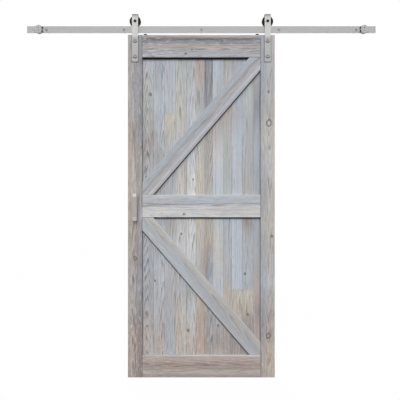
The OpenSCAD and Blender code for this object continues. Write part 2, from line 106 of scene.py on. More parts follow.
# Each lamp's name, the setting that gives its strength, its turn and its width in degrees
LAMPS = (
    ("key_lamp", "key", (58, 0, -3), 50),
    ("fill_lamp", "fill", (96, 0, 12), 70),
    ("top_lamp", "top", (8, 0, 0), 40),
    ("back_lamp", "back", (-58, 0, 14), 40),
    ("right_lamp", "side", (72, 0, 100), 30),
    ("left_lamp", "side", (72, 0, -100), 30),
)

# Half the floor's side in metres, how bright its white is, and how much of it hides the shadow
FLOOR_HALF, FLOOR_WHITE, FLOOR_SHARE = 14, 1.09, 0.90
DUSK_START, DUSK_END = 0.35, 0.95
SENSOR_WIDTH = 36
NEAREST, FURTHEST = 0.05, 100


def srgb(red, green, blue):
    """A colour given as 0 to 255 on a screen, as Blender's linear colour."""
    shares = [value / 255 for value in (red, green, blue)]
    return tuple(s / 12.92 if s <= 0.04045 else ((s + 0.055) / 1.055) ** 2.4 for s in shares)


def tint(name, description, *screen):
    return FloatVectorProperty(
        name=name, description=description, subtype="COLOR", size=3, min=0, max=1,
        default=srgb(*screen))


def length(name, description, metres, low=0.0, high=10.0):
    return FloatProperty(
        name=name, description=description, default=metres, min=low, max=high,
        unit="LENGTH", subtype="DISTANCE", precision=4)


def share(name, description, value):
    return FloatProperty(
        name=name, description=description, default=value, min=0, max=1, subtype="FACTOR")


def strength(name, description, value):
    return FloatProperty(name=name, description=description, default=value, min=0, max=20)


class WoodSettings(bpy.types.PropertyGroup):
    """Stains, grain and wear of the weathered boards, and the shadow painted on them"""

    lime: tint("Lime", "Thickest white wash", 220, 220, 221)
    chalk: tint("Chalk", "White lime wash", 204, 205, 208)
    pale_blue: tint("Pale blue", "Lightest blue wash", 187, 196, 206)
    blue_grey: tint("Blue grey", "Blue wash that has worn thin", 174, 180, 189)
    slate: tint("Slate", "Dark blue-grey weathering", 143, 147, 156)
    lavender: tint("Lavender", "Faded violet-grey wash", 177, 175, 184)
    grey: tint("Grey", "Plain weathered grey", 174, 174, 174)
    sage: tint("Sage", "Grey with a hint of green", 180, 189, 185)
    cream: tint("Cream", "Warm white wash", 201, 195, 184)
    tan: tint("Tan", "Bare warm wood under a thin wash", 192, 179, 166)
    rose: tint("Rose", "Pinkish bare wood", 186, 170, 164)
    umber: tint("Umber", "Brown-grey weathering", 157, 146, 142)
    honey: tint("Honey", "Bare yellowish wood", 187, 165, 146)
    iron: tint("Iron grey", "Darkest weathering", 118, 119, 125)
    deep: tint("Deep grain", "Dark lines of the grain and open pores", 92, 88, 88)
    heartwood: tint("Knot", "Heart of a knot", 96, 84, 78)
    clay: tint("Clay", "Reddish bare wood", 160, 131, 110)
    # Painted shadow: near-black laid under the rails and braces, beside the stiles, round the straps
    # and on shaded board edges
    soot: tint("Soot", "Old dirt in the corners between boards", 12, 11, 11)
    ring_gap: length("Ring gap", "Distance between two growth rings", 5.2 * MM, 0.001, 0.02)
    wander: length("Wander", "How far the grain drifts from a straight line", 12 * MM, 0, 0.1)
    line_strength: share("Grain lines", "How dark the growth rings are drawn", 0.42)
    wash_strength: share("Lime wash", "How much chalk lies over the wood", 0.24)
    fleck_strength: share("Flecks", "How strong the worn spots are", 0.26)
    relief: length("Relief", "Height of the raised grain", 0.4 * MM, 0, 0.01)
    # How far the painted shadow spreads out from a corner
    shadow_reach: length("Dirty corner", "How far dirt spreads out of a corner", 4.5 * MM, 0.001, 0.05)
    # Width of the edge band, which holds wear and painted shade and light
    rim: length("Rim", "Width of the rubbed edge of a board", 2.4 * MM, 0.001, 0.02)
    brace_wide: length("Brace width", "Width of a slanting board", 104 * MM, 0.05, 0.2)


class MetalSettings(bpy.types.PropertyGroup):
    """Brushed steel, the black parts, and the shade painted on the straps and bolts"""

    track_steel: tint("Track", "Brushed steel of the track", 179, 179, 179)
    strap_steel: tint("Straps", "Brighter steel of the hangers", 202, 202, 201)
    bolt_steel: tint("Bolts", "Steel of the strap bolts", 160, 159, 158)
    screw_steel: tint("Wall screws", "Darker steel of the wall screws", 158, 158, 157)
    handle_steel: tint("Handle", "Warm steel of the pull handle", 172, 167, 165)
    bright_steel: tint("Bright steel", "Ground steel of bearings and handle bolts", 222, 221, 220)
    stop_steel: tint("End stop", "Duller steel of the end stops", 178, 178, 177)
    black_steel: tint("Black steel", "Blackened steel of the small screws", 40, 39, 40)
    nylon: tint("Nylon", "Black nylon of the wheels", 11, 11, 12)
    rubber: tint("Rubber", "Black rubber of the buffers and guards", 8, 8, 8)
    metallic: share("Metallic", "How much the brushed steel mirrors", 0.65)
    roughness: share("Roughness", "Roughness of the brushed steel", 0.34)
    brush_gap: length("Brush lines", "Width of a brush line", 0.35 * MM, 0.00005, 0.01)
    # Depth below the top of the door over which shade is painted on the straps
    dull_below: length("Dull below", "Depth under the track where the straps turn dull", 20 * MM)
    # Height of the band of shade painted along the bend of the strap's fold
    fold: length("Fold", "Height of the duller fold at the top of a strap", 10 * MM)
    # Width of the shadow painted under a bolt's head
    bolt_shadow: length("Grime", "Width of the dirt under a bolt's head", 3 * MM, 0.0005, 0.01)
    # The socket's dark colour is painted shade
    socket: length("Socket", "Radius of the dark socket in a bolt's head", 4 * MM, 0.0005, 0.01)


class ScrewSettings(bpy.types.PropertyGroup):
    """Heads and threads of the wall screws"""

    flats: length("Flats", "Width across the flats of a head", 13 * MM, 0.005, 0.03)
    flange: length("Flange", "Thickness of the round flange under a head", 1.2 * MM, 0.0005, 0.01)
    shank: length("Shank", "Diameter of the smooth shank", 7.4 * MM, 0.003, 0.02)
    thread: length("Thread", "Diameter over the thread", 8 * MM, 0.003, 0.02)
    core: length("Core", "Diameter under the thread", 5.8 * MM, 0.001, 0.02)
    pitch: length("Pitch", "Distance between two turns of the thread", 4.2 * MM, 0.001, 0.02)
    point: length("Point", "Length of the point", 9 * MM, 0.001, 0.02)
    steps: IntProperty(name="Steps", description="Facets in one turn", default=28, min=12, max=96)


class StudioSettings(bpy.types.PropertyGroup):
    """Floor, lamps and camera"""

    floor: tint("Floor", "Colour that the floor gives back to the door", 96, 96, 96)
    floor_gap: length("Floor gap", "Room under the foot of the door", 12 * MM)
    key: strength("Key lamp", "Strength from the front", 2.56)
    fill: strength("Fill lamp", "Strength from beside the camera", 0.90)
    top: strength("Top lamp", "Strength from above", 0.6)
    back: strength("Back lamp", "Strength from behind", 2.3)
    side: strength("Side lamps", "Strength from the sides", 1.5)
    sky: strength("Sky", "Light from all round", 0.10)
    zenith: share("Zenith", "Brightness overhead that steel mirrors, as a share of the rest", 0.35)
    distance: length("Distance", "From the camera to the front of the door", 3.46, 1, 20)
    aside: length("Aside", "How far the camera stands left of the middle", 8.5 * MM, 0, 1)
    below: length("Below", "How far the camera stands below the track", 1.064, 0, 3)
    lens: FloatProperty(name="Lens", description="Focal length in mm", default=50, min=10)


class Term:
    """A number in a material: sums and products of it add the nodes that work them out."""

    def __init__(self, shade, socket):
        self.shade, self.socket = shade, socket

    def __add__(self, other):
        return self.shade.math("ADD", self, other)

    __radd__ = __add__

    def __mul__(self, other):
        return self.shade.math("MULTIPLY", self, other)

    __rmul__ = __mul__

    def __sub__(self, other):
        return self.shade.math("SUBTRACT", self, other)

    def __rsub__(self, other):
        return self.shade.math("SUBTRACT", other, self)

    def __truediv__(self, other):
        return self.shade.math("DIVIDE", self, other)

    def __rtruediv__(self, other):
        return self.shade.math("DIVIDE", other, self)

    def __abs__(self):
        return self.shade.math("ABSOLUTE", self)

    def root(self):
        return self.shade.math("SQRT", self)

    def fract(self):
        return self.shade.math("FRACT", self)

    def sine(self):
        return self.shade.math("SINE", self)

    def or_more(self, other):
        return self.shade.math("MAXIMUM", self, other)

    def bell(self):
        """1 where the number is 0, falling away on both sides."""
        return self.shade.math("EXPONENT", self * self * -1)

    def smooth(self, low, high):
        """0 below low, 1 above high and a soft step between; with low above high it falls."""
        return Term(self.shade, self.shade.node(
            "MapRange", {"interpolation_type": "SMOOTHSTEP"},
            {"Value": self, "From Min": low, "From Max": high}).outputs[0])


class Shade:
    """The nodes of one material or of the world."""

    def __init__(self, owner):
        self.owner = owner
        owner.use_nodes = True
        self.tree = owner.node_tree
        self.tree.nodes.clear()

    def node(self, kind, settings=None, values=None):
        made = self.tree.nodes.new("ShaderNode" + kind)
        made.location = (200 * (len(self.tree.nodes) // 6), -170 * (len(self.tree.nodes) % 6))
        for key, value in (settings or {}).items():
            if key == "stops":
                self.set_stops(made.color_ramp, value)
            else:
                setattr(made, key, value)
        for key, value in (values or {}).items():
            self.feed(made.inputs[key], value)
        return made

    @staticmethod
    def set_stops(color_ramp, stops):
        elements = color_ramp.elements
        while len(elements) > 1:
            elements.remove(elements[-1])
        for number, (place, colour) in enumerate(stops):
            element = elements[0] if number == 0 else elements.new(place)
            element.position = place
            element.color = (*colour, 1)

    def feed(self, socket, value):
        if isinstance(value, Term):
            self.tree.links.new(value.socket, socket)
        elif isinstance(value, bpy.types.NodeSocket):
            self.tree.links.new(value, socket)
        elif socket.type == "RGBA" and len(value) == 3:
            socket.default_value = (*value, 1)
        else:
            socket.default_value = value

    def math(self, operation, *values):
        return Term(self, self.node(
            "Math", {"operation": operation}, dict(enumerate(values))).outputs[0])

    def place(self):
        return self.node("TexCoord").outputs["Object"]

    def turned(self, centre, turn):
        """Place measured from centre, with the X axis turned about Y towards Z by turn."""
        spun = Euler((0, turn, 0))
        shift = -(spun.to_matrix() @ Vector(centre))
        return self.node("Mapping", {"vector_type": "POINT"}, {
            "Vector": self.place(), "Location": shift, "Rotation": tuple(spun)}).outputs[0]

    def split(self, vector):
        parts = self.node("SeparateXYZ", None, {0: vector})
        return [Term(self, parts.outputs[axis]) for axis in range(3)]

    def join(self, *parts):
        return self.node("CombineXYZ", None, dict(enumerate(parts))).outputs[0]

    def noise(self, vector, sizes, detail=2.0, rough=0.5):
        """Soft noise whose patches are as long as sizes, in metres along each axis."""
        scaled = self.node("VectorMath", {"operation": "MULTIPLY"}, {
            0: vector, 1: [1 / size for size in sizes]}).outputs[0]
        return Term(self, self.node("TexNoise", None, {
            "Vector": scaled, "Scale": 1.0, "Detail": detail, "Roughness": rough}).outputs[0])

    def mix(self, factor, first, second):
        made = self.node("Mix", {"data_type": "RGBA"}, {0: factor, 6: first, 7: second})
        return made.outputs[2]

    def ramp(self, value, stops):
        return self.node("ValToRGB", {"stops": stops}, {0: value}).outputs[0]

    def surface(self, colour, roughness, relief, depth, **constants):
        """The finish itself; relief is the height of its bumps and depth their size in metres."""
        values = {"Base Color": colour, "Roughness": roughness}
        values.update({key.replace("_", " "): value for key, value in constants.items()})
        values["Normal"] = self.node("Bump", None, {
            "Height": relief, "Distance": depth, "Strength": 1.0}).outputs[0]
        made = self.node("BsdfPrincipled", None, values)
        self.node("OutputMaterial", None, {0: made.outputs[0]})
        return self.owner


def new_shade(name):
    return Shade(bpy.data.materials.new(name))


def dress(material, *nodes):
    """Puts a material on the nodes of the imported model."""
    for node in nodes:
        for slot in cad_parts[node].material_slots:
            slot.material = material


def nodes_called(start):
    """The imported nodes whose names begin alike."""
    return [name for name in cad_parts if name.startswith(start)]


def slope(node):
    """The angle of the line between two opposite corners of a node, seen from the front."""
    low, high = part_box(node)
    return math.atan2(high[2] - low[2], high[0] - low[0])


class Board:
    """How one board is cut, stained and worn.

    down and across hold its washes along it and from edge to edge, and weigh is the share of
    the second. heart is where the pith lay, in mm beside the board's middle and behind its
    front. A knot is (x, z, radius, how dark its heart is), and edges holds the stain and share
    of the band along the lower and upper edge: painted shade on the stiles and on the lower
    edges of the top and middle rail and the braces, painted light on the upper edges of the
    middle rail and the braces, and wear elsewhere.
    """

    def __init__(self, node, way, down, across=(), weigh=1.0, accent="chalk", heart=(0, 40),
                 taper=5.0, wear=1.0, lines=1.0, mottle=1.0,
                 edges=(("chalk", 0.3), ("chalk", 0.3)), knots=()):
        low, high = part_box(node)
        wide, tall = high[0] - low[0], high[2] - low[2]
        brace = bpy.context.scene.barn_wood.brace_wide
        self.node = node
        self.turn, self.along, self.wide = {
            "stands": (math.pi / 2, tall, wide),
            "lies": (0.0, wide, tall),
            "rises": (slope(node), math.hypot(wide, tall), brace),
            "falls": (-slope(node), math.hypot(wide, tall), brace),
        }[way]
        self.middle = (Vector(low) + Vector(high)) / 2
        self.middle.y = low[1]
        self.down, self.across, self.weigh = down, across, weigh
        self.accent, self.taper, self.wear, self.lines = accent, taper, wear, lines
        self.heart = [value * MM for value in heart]
        self.mottle, self.edges, self.knots = mottle, edges, knots
        self.seed = sum(ord(letter) * (place + 3) for place, letter in enumerate(node)) % 97

    def local(self, x, z):
        """A point of the front, as its distance along and across from the board's middle."""
        point = Euler((0, self.turn, 0)).to_matrix() @ (
            Vector((x, self.middle.y, z)) - self.middle)
        return point.x, point.z

    def lower_edge(self):
        """The board's lower long edge as (x, z, offset), where x and z weigh the place."""
        x, z = -math.sin(self.turn), math.cos(self.turn)
        return x, z, x * self.middle.x + z * self.middle.z - self.wide / 2


def stain(wood, names):
    """Turns (place, stain) pairs into a ramp's stops."""
    return [(place, tuple(getattr(wood, name))) for place, name in names]


def washes(shade, wood, board, along, across, broad, streaks):
    """The thin washes: bands down the board and across it, with streaks along the grain."""
    streak, second, third = streaks
    colour = None
    if board.down:
        far = 0.5 - along / board.along + (broad - 0.5) * 0.16
        colour = shade.ramp(far, stain(wood, board.down))
    if board.across:
        side = 0.5 - across / board.wide + (streak - 0.5) * 0.13
        banded = shade.ramp(side, stain(wood, board.across))
        colour = shade.mix(board.weigh, colour, banded)
    for run, low, high, amount, name in (
            (streak, 0.46, 0.64, 0.50, board.accent), (second, 0.54, 0.68, 0.40, "slate"),
            (second, 0.46, 0.32, 0.48, "tan"), (third, 0.52, 0.64, 0.46, "pale_blue"),
            (third, 0.48, 0.36, 0.44, "rose")):
        colour = shade.mix(run.smooth(low, high) * (amount * board.mottle), colour,
                           tuple(getattr(wood, name)))
    return colour


def draw_knot(shade, wood, colour, apart, heart):
    """A dark rim and heart, where apart is 1 at the knot's edge."""
    colour = shade.mix(apart.smooth(1.0, 0.6), colour, tuple(wood.cream))
    turns = (apart * 7).sine() * 0.2 + 0.8
    colour = shade.mix(apart.smooth(1.10, 0.45) * turns * heart, colour, tuple(wood.heartwood))
    return shade.mix(((apart - 1) * 3.2).bell() * 0.85, colour, tuple(wood.deep))


def on_front(node, y):
    """1 on the front of a node and 0 behind it."""
    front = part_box(node)[0][1]
    return y.smooth(front + 4 * MM, front + 1 * MM)


def painted_corner_shadow(shade, wood, plank, edges):
    """How much shadow is painted on a plank beside the edges of the boards planted on it."""
    x, y, z = shade.split(shade.place())
    worst = None
    for across, up, offset, reach, amount in edges:
        near = ((x * across + z * up - offset) / (wood.shadow_reach * reach) + 0.35).bell() * amount
        worst = worst.or_more(near) if worst else near
    return worst * on_front(plank, y)


def painted_strap_shadow(shade, wood, board, strap):
    """How much shadow is painted on a board along the outline of a strap hanging over it."""
    low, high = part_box(strap)
    x, y, z = shade.split(shade.place())
    beside = abs(x - (low[0] + high[0]) / 2) - (high[0] - low[0]) / 2
    near = (beside.or_more(low[2] - z) / wood.shadow_reach).bell() * 0.55
    return near * on_front(board, y)


def weathered_wood(board, corners=(), strap=None):
    """Wood that is cut out of round growth rings, washed with thin stain and worn again.

    corners are the edges of the boards planted on it, where shadow is painted beside them,
    and strap is the hanger over it, round whose outline shadow is painted.
    """
    wood = bpy.context.scene.barn_wood
    shade = new_shade("weathered_" + board.node)
    along, deep, across = shade.split(shade.turned(board.middle, board.turn))
    shifted = along + board.seed * SEED_STEP
    drift = shade.noise(shade.join(shifted, deep, across), *DRIFT)
    edge = abs(across)
    upper = across.smooth(-1 * MM, 1 * MM)
    across = across + (drift - 0.5) * wood.wander
    spots = []
    for x, z, size, heart in board.knots:
        at, side = board.local(x * MM, z * MM)
        near, off = (along - at) * 0.75, across - side
        apart = (near * near + off * off).root() / (size * MM)
        across = across - off * (apart / 2.4).bell() * 0.62
        spots.append((apart, heart))
    grain = shade.join(shifted, deep, across)
    broad = shade.noise(grain, *BROAD)
    streaks = [
        shade.noise(shade.join(shifted + STREAK_STEP * number, deep, across), *streak)
        for number, streak in enumerate(STREAKS)]
    hair, blot, fleck, fibre, pore = [
        shade.noise(grain, *pattern) for pattern in (HAIR, BLOT, FLECK, FIBRE, PORE)]
    colour = washes(shade, wood, board, along, across, broad, streaks)

    pith, depth = board.heart
    from_heart = ((across - pith) * (across - pith) + (deep + depth) * (deep + depth)).root()
    ring = (from_heart / wood.ring_gap + along * board.taper + broad * 3.0 + drift * 4.0).fract()
    line = ring.smooth(0.30, 0.85) * ring.smooth(1.0, 0.92)
    drawn = line * (0.25 + blot.smooth(0.38, 0.64)) * board.lines
    chalky = blot.smooth(0.42, 0.68) * (1 - line)
    wear = (0.8 + (along / board.along).smooth(-0.18, -0.42) * 0.7) * board.wear
    worn = wear * wood.fleck_strength
    pits = pore.smooth(0.62, 0.74)
    for amount, name in (
            (chalky * wood.wash_strength, "chalk"), (drawn * wood.line_strength, "deep"),
            (hair.smooth(0.56, 0.74) * board.wear * 0.24, "deep"),
            (fleck.smooth(0.53, 0.70) * worn, "lime"),
            (fleck.smooth(0.47, 0.31) * worn * 0.72, "deep"),
            (fibre.smooth(0.50, 0.74) * 0.34, "deep"),
            (fibre.smooth(0.48, 0.26) * 0.24, "chalk"), (pits * 0.45, "deep")):
        colour = shade.mix(amount, colour, tuple(getattr(wood, name)))
    for apart, heart in spots:
        colour = draw_knot(shade, wood, colour, apart + (fleck - 0.5) * 1.2, heart)

    # Edge bands as each board's edges give: painted shade and painted light on some boards, wear on
    # others
    edge_wear_shade_and_light = edge.smooth(board.wide / 2 - wood.rim, board.wide / 2 - 0.2 * MM)
    for half, (name, amount) in zip((1 - upper, upper), board.edges):
        colour = shade.mix(edge_wear_shade_and_light * half * amount, colour, tuple(getattr(wood, name)))
    # Painted shadow under and beside the boards planted on a plank
    if corners:
        colour = shade.mix(painted_corner_shadow(shade, wood, board.node, corners), colour,
                           tuple(wood.soot))
    # Painted shadow round the strap's outline on a stile
    if strap:
        colour = shade.mix(painted_strap_shadow(shade, wood, board.node, strap), colour,
                           tuple(wood.soot))
    height = (1 - fibre) * 0.35 + (1 - drawn) * 0.45 - pits * 0.5 + chalky * 0.15 - hair * 0.3
    return shade.surface(colour, 0.86 - chalky * 0.10 + pits * 0.06, height, wood.relief,
                         Metallic=0.0, Specular_IOR_Level=0.2)


def brushed_steel(name, colour, sizes, roughness=None, painted_shading=None):
    """Steel with fine brush lines, whose lengths along X, Y and Z are sizes.

    From X and Z, its painted shading gives pairs of how much shade is painted on a place
    and how much light that leaves.
    """
    metal = bpy.context.scene.barn_metal
    shade = new_shade(name)
    place = shade.place()
    lines = shade.noise(place, sizes, 3.0, 0.6)
    hazy = shade.noise(place, (0.05, 0.05, 0.05))
    pale = tuple(min(1, c * 1.08) for c in colour)
    dark = tuple(c * 0.90 for c in colour)
    colour = shade.mix(lines.smooth(0.3, 0.7) * 0.5 + hazy * 0.3, dark, pale)
    if painted_shading:
        x, _, z = shade.split(place)
        for amount, kept in painted_shading(x, z):
            colour = shade.mix(amount, colour, tuple(c * kept for c in dark))
    rough = roughness or metal.roughness
    return shade.surface(colour, rough + (lines - 0.5) * 0.10 + (hazy - 0.5) * 0.08, lines,
                         STEEL_RELIEF, Metallic=metal.metallic)


def turned_steel(name, colour, fold_x, fold_z, gap, roughness=0.34, metallic=0.5, socket_shade=None,
                 dull=None):
    """Steel turned on a lathe: fine rings round each head's middle, found by folding X and Z.

    The middle of a head is painted dark as shade in its socket, as far out as hollow; from a
    height, dull makes how much shade is painted there.
    """
    shade = new_shade(name)
    place = shade.place()
    x, y, height = shade.split(place)
    x, z = fold_x(x), fold_z(height)
    out = (x * x + z * z).root()
    rings = shade.noise(shade.join(out, y, 0.0), (gap, gap * 3, 1.0), 2.0, 0.6)
    hazy = shade.noise(place, (0.02, 0.02, 0.02))
    colour = shade.mix(rings.smooth(0.3, 0.7) * 0.6 + hazy * 0.2, tuple(c * 0.86 for c in colour),
                       tuple(min(1, c * 1.1) for c in colour))
    # Painted shade, as much as the height gives
    if dull:
        colour = shade.mix(dull(height), colour, (0.30, 0.30, 0.30))
    # Painted shade in the socket
    if socket_shade:
        colour = shade.mix(out.smooth(socket_shade, socket_shade * 0.7), colour, (0.12, 0.12, 0.12))
    return shade.surface(colour, roughness + (rings - 0.5) * 0.1, rings, STEEL_RELIEF,
                         Metallic=metallic)


def moulded(name, colour, roughness, grain, specular):
    """Moulded nylon or rubber with a fine surface grain and faint scuffs."""
    shade = new_shade(name)
    place = shade.place()
    fine = shade.noise(place, (grain, grain, grain), 3.0, 0.6)
    scuff = shade.noise(place, (0.012, 0.012, 0.012), 4.0, 0.65)
    worn = scuff.smooth(0.52, 0.72)
    mixed = shade.mix(worn * 0.4, tuple(colour), tuple(c * 1.6 + 0.004 for c in colour))
    return shade.surface(mixed, roughness + worn * 0.12 + (fine - 0.5) * 0.1, fine,
                         MOULD_RELIEF, Metallic=0.0, Specular_IOR_Level=specular)


BLUE_TO_ROSE = ((0.05, "blue_grey"), (0.55, "grey"), (0.92, "rose"))

# Each plank's washes from its top to its foot, its accent, where its pith lay, its wear and knots
PLANKS = (
    ("plank_1", BLUE_TO_ROSE, "chalk", (10, 35), 1.2, ()),
    ("plank_2", ((0.10, "pale_blue"), (0.20, "sage"), (0.28, "grey"), (0.32, "umber"),
                 (0.36, "grey"), (0.46, "lavender"), (0.68, "blue_grey"), (0.80, "grey"),
                 (0.90, "rose")), "chalk", (4, 24), 1.45,
     ((-320, -403, 7, 0.9), (-345, -920, 6, 0.5))),
    ("plank_3", ((0.10, "blue_grey"), (0.22, "pale_blue"), (0.36, "grey"), (0.57, "blue_grey"),
                 (0.70, "pale_blue"), (0.90, "rose")), "chalk", (-22, 30), 1.1,
     ((-289, -1569, 5, 0.9),)),
    ("plank_4_top", ((0.2, "pale_blue"), (0.9, "pale_blue")), "blue_grey", (30, 40), 0.7, ()),
    ("plank_4", ((0.05, "cream"), (0.16, "blue_grey"), (0.28, "blue_grey"), (0.45, "grey"),
                 (0.58, "pale_blue"), (0.68, "blue_grey"), (0.86, "blue_grey")),
     "cream", (-30, 40), 0.9, ()),
    ("plank_5", ((0.10, "sage"), (0.24, "cream"), (0.34, "blue_grey"), (0.44, "cream"),
                 (0.60, "chalk"), (0.71, "blue_grey"), (0.82, "cream"), (0.92, "tan")),
     "chalk", (12, 30), 1.0, ((-127, -1276, 5, 0.9),)),
    ("plank_6", ((0.01, "slate"), (0.10, "blue_grey"), (0.22, "chalk"), (0.30, "pale_blue"),
                 (0.42, "lime"), (0.62, "lime"), (0.73, "grey"), (0.81, "chalk"),
                 (0.86, "cream"), (0.93, "tan")),
     "chalk", (-14, 26), 1.1, ((-52, -936, 4, 1), (-84, -1881, 7, 0.9))),
    ("plank_7", ((0.10, "rose"), (0.19, "grey"), (0.28, "sage"), (0.38, "cream"), (0.56, "cream"),
                 (0.67, "grey"), (0.77, "tan"), (0.84, "honey"), (0.93, "honey")),
     "cream", (20, 34), 0.9, ()),
    ("plank_8", ((0.11, "iron"), (0.21, "slate"), (0.26, "umber"), (0.32, "grey"), (0.48, "sage"),
                 (0.58, "tan"), (0.66, "umber"), (0.71, "slate"), (0.79, "grey"),
                 (0.92, "umber")), "grey", (-24, 30), 1.1, ((-6, -520, 5, 0.8),)),
    ("plank_9", ((0.10, "pale_blue"), (0.26, "grey"), (0.34, "chalk"), (0.46, "pale_blue"),
                 (0.61, "cream"), (0.73, "pale_blue"), (0.90, "umber"), (0.95, "rose")),
     "chalk", (8, 26), 0.6, ((104, -1850, 5, 0.9),)),
    ("plank_10", ((0.02, "slate"), (0.11, "grey"), (0.20, "rose"), (0.30, "sage"), (0.44, "sage"),
                  (0.58, "blue_grey"), (0.70, "grey"), (0.78, "tan"), (0.90, "umber")),
     "chalk", (-18, 36), 0.7, ((166, -459, 5, 0.9),)),
    ("plank_11_top", ((0.02, "slate"), (0.15, "blue_grey"), (0.30, "blue_grey"),
                      (0.42, "pale_blue"), (0.95, "pale_blue")), "pale_blue", (26, 44), 0.5, ()),
    ("plank_11", ((0.10, "cream"), (0.30, "tan"), (0.45, "umber"), (0.80, "umber")),
     "cream", (-20, 30), 1.1, ()),
    ("plank_12_top", ((0.02, "slate"), (0.10, "blue_grey"), (0.22, "sage"), (0.35, "blue_grey"),
                      (0.56, "grey"), (0.68, "grey"), (0.74, "umber"), (0.79, "grey"),
                      (0.88, "blue_grey")), "chalk", (10, 24), 0.7, ((272, -1526, 6, 0.9),)),
    ("plank_12", ((0.05, "cream"), (0.26, "tan"), (0.36, "umber"), (0.80, "umber")),
     "cream", (6, 26), 1.1, ((290, -1781, 6, 0.9),)),
    ("plank_13", ((0.08, "blue_grey"), (0.20, "slate"), (0.33, "blue_grey"),
                  (0.56, "blue_grey"), (0.67, "grey"), (0.77, "rose"), (0.84, "umber"),
                  (0.93, "rose")), "slate", (-26, 32), 0.55, ()),
    ("plank_14", BLUE_TO_ROSE, "chalk", (-8, 40), 0.9, ()),
)


def edges_to_shadow(plank):
    """The edges of the boards planted on a plank, with the reach and amount of shadow painted there.
    """
    # Painted shadow reaches furthest under the top rail, and is weaker beside the right stile than the
    # left
    edges = [(*Board(node, way, ()).lower_edge(), reach, amount)
             for node, way, reach, amount in (
                 ("top_rail", "lies", 2.3, 1.0), ("middle_rail", "lies", 1.6, 0.98),
                 ("upper_brace", "rises", 0.7, 0.75), ("lower_brace", "falls", 0.9, 0.9))]
    low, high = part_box(plank)
    for place, amount in ((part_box("left_stile")[1][0], 0.30), (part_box("right_stile")[0][0], 0.14)):
        if low[0] < place < high[0]:
            edges.append((1, 0, place, 0.8, amount))
    return edges


class BARN_OT_planks(bpy.types.Operator):
    """Stain the planks, each with its own run of washes from top to foot"""

    bl_idname = "barn.planks"
    bl_label = "Finish the Planks"

    def execute(self, context):
        for node, down, accent, heart, wear, knots in PLANKS:
            board = Board(node, "stands", down, accent=accent, heart=heart, wear=wear,
                          lines=wear, knots=knots, taper=6 * wear * wear, mottle=0.72,
                          edges=(("umber", 0.3), ("umber", 0.3)))
            dress(weathered_wood(board, edges_to_shadow(node)), node)
        return {"FINISHED"}


class BARN_OT_stiles(bpy.types.Operator):
    """Stain the two upright boards at the sides"""

    bl_idname = "barn.stiles"
    bl_label = "Finish the Stiles"

    def execute(self, context):
        # Both edges of each stile carry painted shade
        left = Board(
            "left_stile", "stands",
            ((0.02, "blue_grey"), (0.06, "slate"), (0.10, "blue_grey"), (0.20, "blue_grey"),
             (0.27, "umber"), (0.36, "tan"), (0.44, "tan"), (0.57, "rose"), (0.65, "umber"),
             (0.73, "lavender"), (0.80, "umber"), (0.88, "clay"), (0.97, "clay")),
            ((0.05, "tan"), (0.35, "tan"), (0.55, "umber"), (0.72, "slate"), (0.98, "iron")),
            0.50, knots=((-413, -1426, 9, 0.8), (-367, -734, 7, 0.9)), heart=(10, 22), taper=5,
            wear=2.0, lines=1.3, mottle=0.5, edges=(("soot", 0.18), ("soot", 0.55)))
        right = Board(
            "right_stile", "stands",
            ((0.02, "lavender"), (0.10, "blue_grey"), (0.20, "grey"), (0.28, "cream"),
             (0.39, "chalk"), (0.48, "grey"), (0.55, "cream"), (0.62, "grey"),
             (0.71, "pale_blue"), (0.80, "umber"), (0.86, "umber"), (0.93, "honey")),
            ((0.02, "slate"), (0.35, "blue_grey"), (0.66, "tan"), (0.97, "cream")), 0.45,
            knots=((418, -389, 5, 0.9), (421, -584, 14, 0.15), (440, -1289, 6, 0.9),
                   (417, -1909, 11, 0.6)),
            heart=(-8, 26), taper=-6, wear=1.2, mottle=0.4,
            edges=(("iron", 0.5), ("soot", 0.26)))
        for board, strap in ((left, "hanger_left"), (right, "hanger_right")):
            dress(weathered_wood(board, strap=strap), board.node)
        return {"FINISHED"}


class BARN_OT_rails(bpy.types.Operator):
    """Stain the three cross boards, whose washes lie in bands along them"""

    bl_idname = "barn.rails"
    bl_label = "Finish the Rails"

    def execute(self, context):
        # The dark band on the lower edges of the top and middle rail is painted shade, the lime on the
        # middle rail's upper edge painted light
        top = Board(
            "top_rail", "lies", ((0.1, "grey"), (0.4, "rose"), (0.9, "lavender")),
            ((0.05, "cream"), (0.12, "umber"), (0.16, "iron"), (0.20, "deep"), (0.25, "iron"),
             (0.31, "slate"), (0.37, "slate"), (0.41, "lavender"), (0.49, "rose"),
             (0.57, "rose"), (0.68, "grey"), (0.80, "blue_grey"), (0.90, "pale_blue"),
             (0.97, "lavender")),
            0.94,
            knots=((-98, -151, 6, 0.9), (128, -75, 5, 0.8), (-60, -128, 4, 0.8)),
            accent="lavender", heart=(-20, 30), taper=4, wear=1.8, lines=1.3, mottle=0.5,
            edges=(("soot", 0.45), ("umber", 0.2)))
        middle = Board(
            "middle_rail", "lies", ((0.1, "sage"), (0.5, "blue_grey"), (0.9, "cream")),
            ((0.04, "chalk"), (0.12, "pale_blue"), (0.31, "pale_blue"), (0.37, "slate"),
             (0.42, "lavender"), (0.50, "chalk"), (0.66, "lime"), (0.95, "lime")), 0.88,
            knots=((-108, -1151, 5, 0.8),), heart=(6, 24), taper=-4, wear=1.0,
            mottle=0.7, edges=(("soot", 0.65), ("lime", 0.6)))
        # The lime at the very top of the washes is painted light on the rail's top edge
        bottom = Board(
            "bottom_rail", "lies", ((0.1, "rose"), (0.5, "umber"), (0.9, "rose")),
            ((0.035, "lime"), (0.07, "rose"), (0.11, "tan"), (0.16, "rose"),
             (0.28, "rose"), (0.35, "umber"),
             (0.42, "clay"), (0.49, "umber"), (0.62, "umber"), (0.70, "tan"), (0.76, "tan"),
             (0.84, "rose"), (0.98, "umber")), 0.90,
            accent="rose", heart=(14, 30), taper=5, wear=1.2, lines=1.1, mottle=0.6,
            edges=(("umber", 0.4), ("umber", 0.2)))
        for board in (top, middle, bottom):
            dress(weathered_wood(board), board.node)
        return {"FINISHED"}


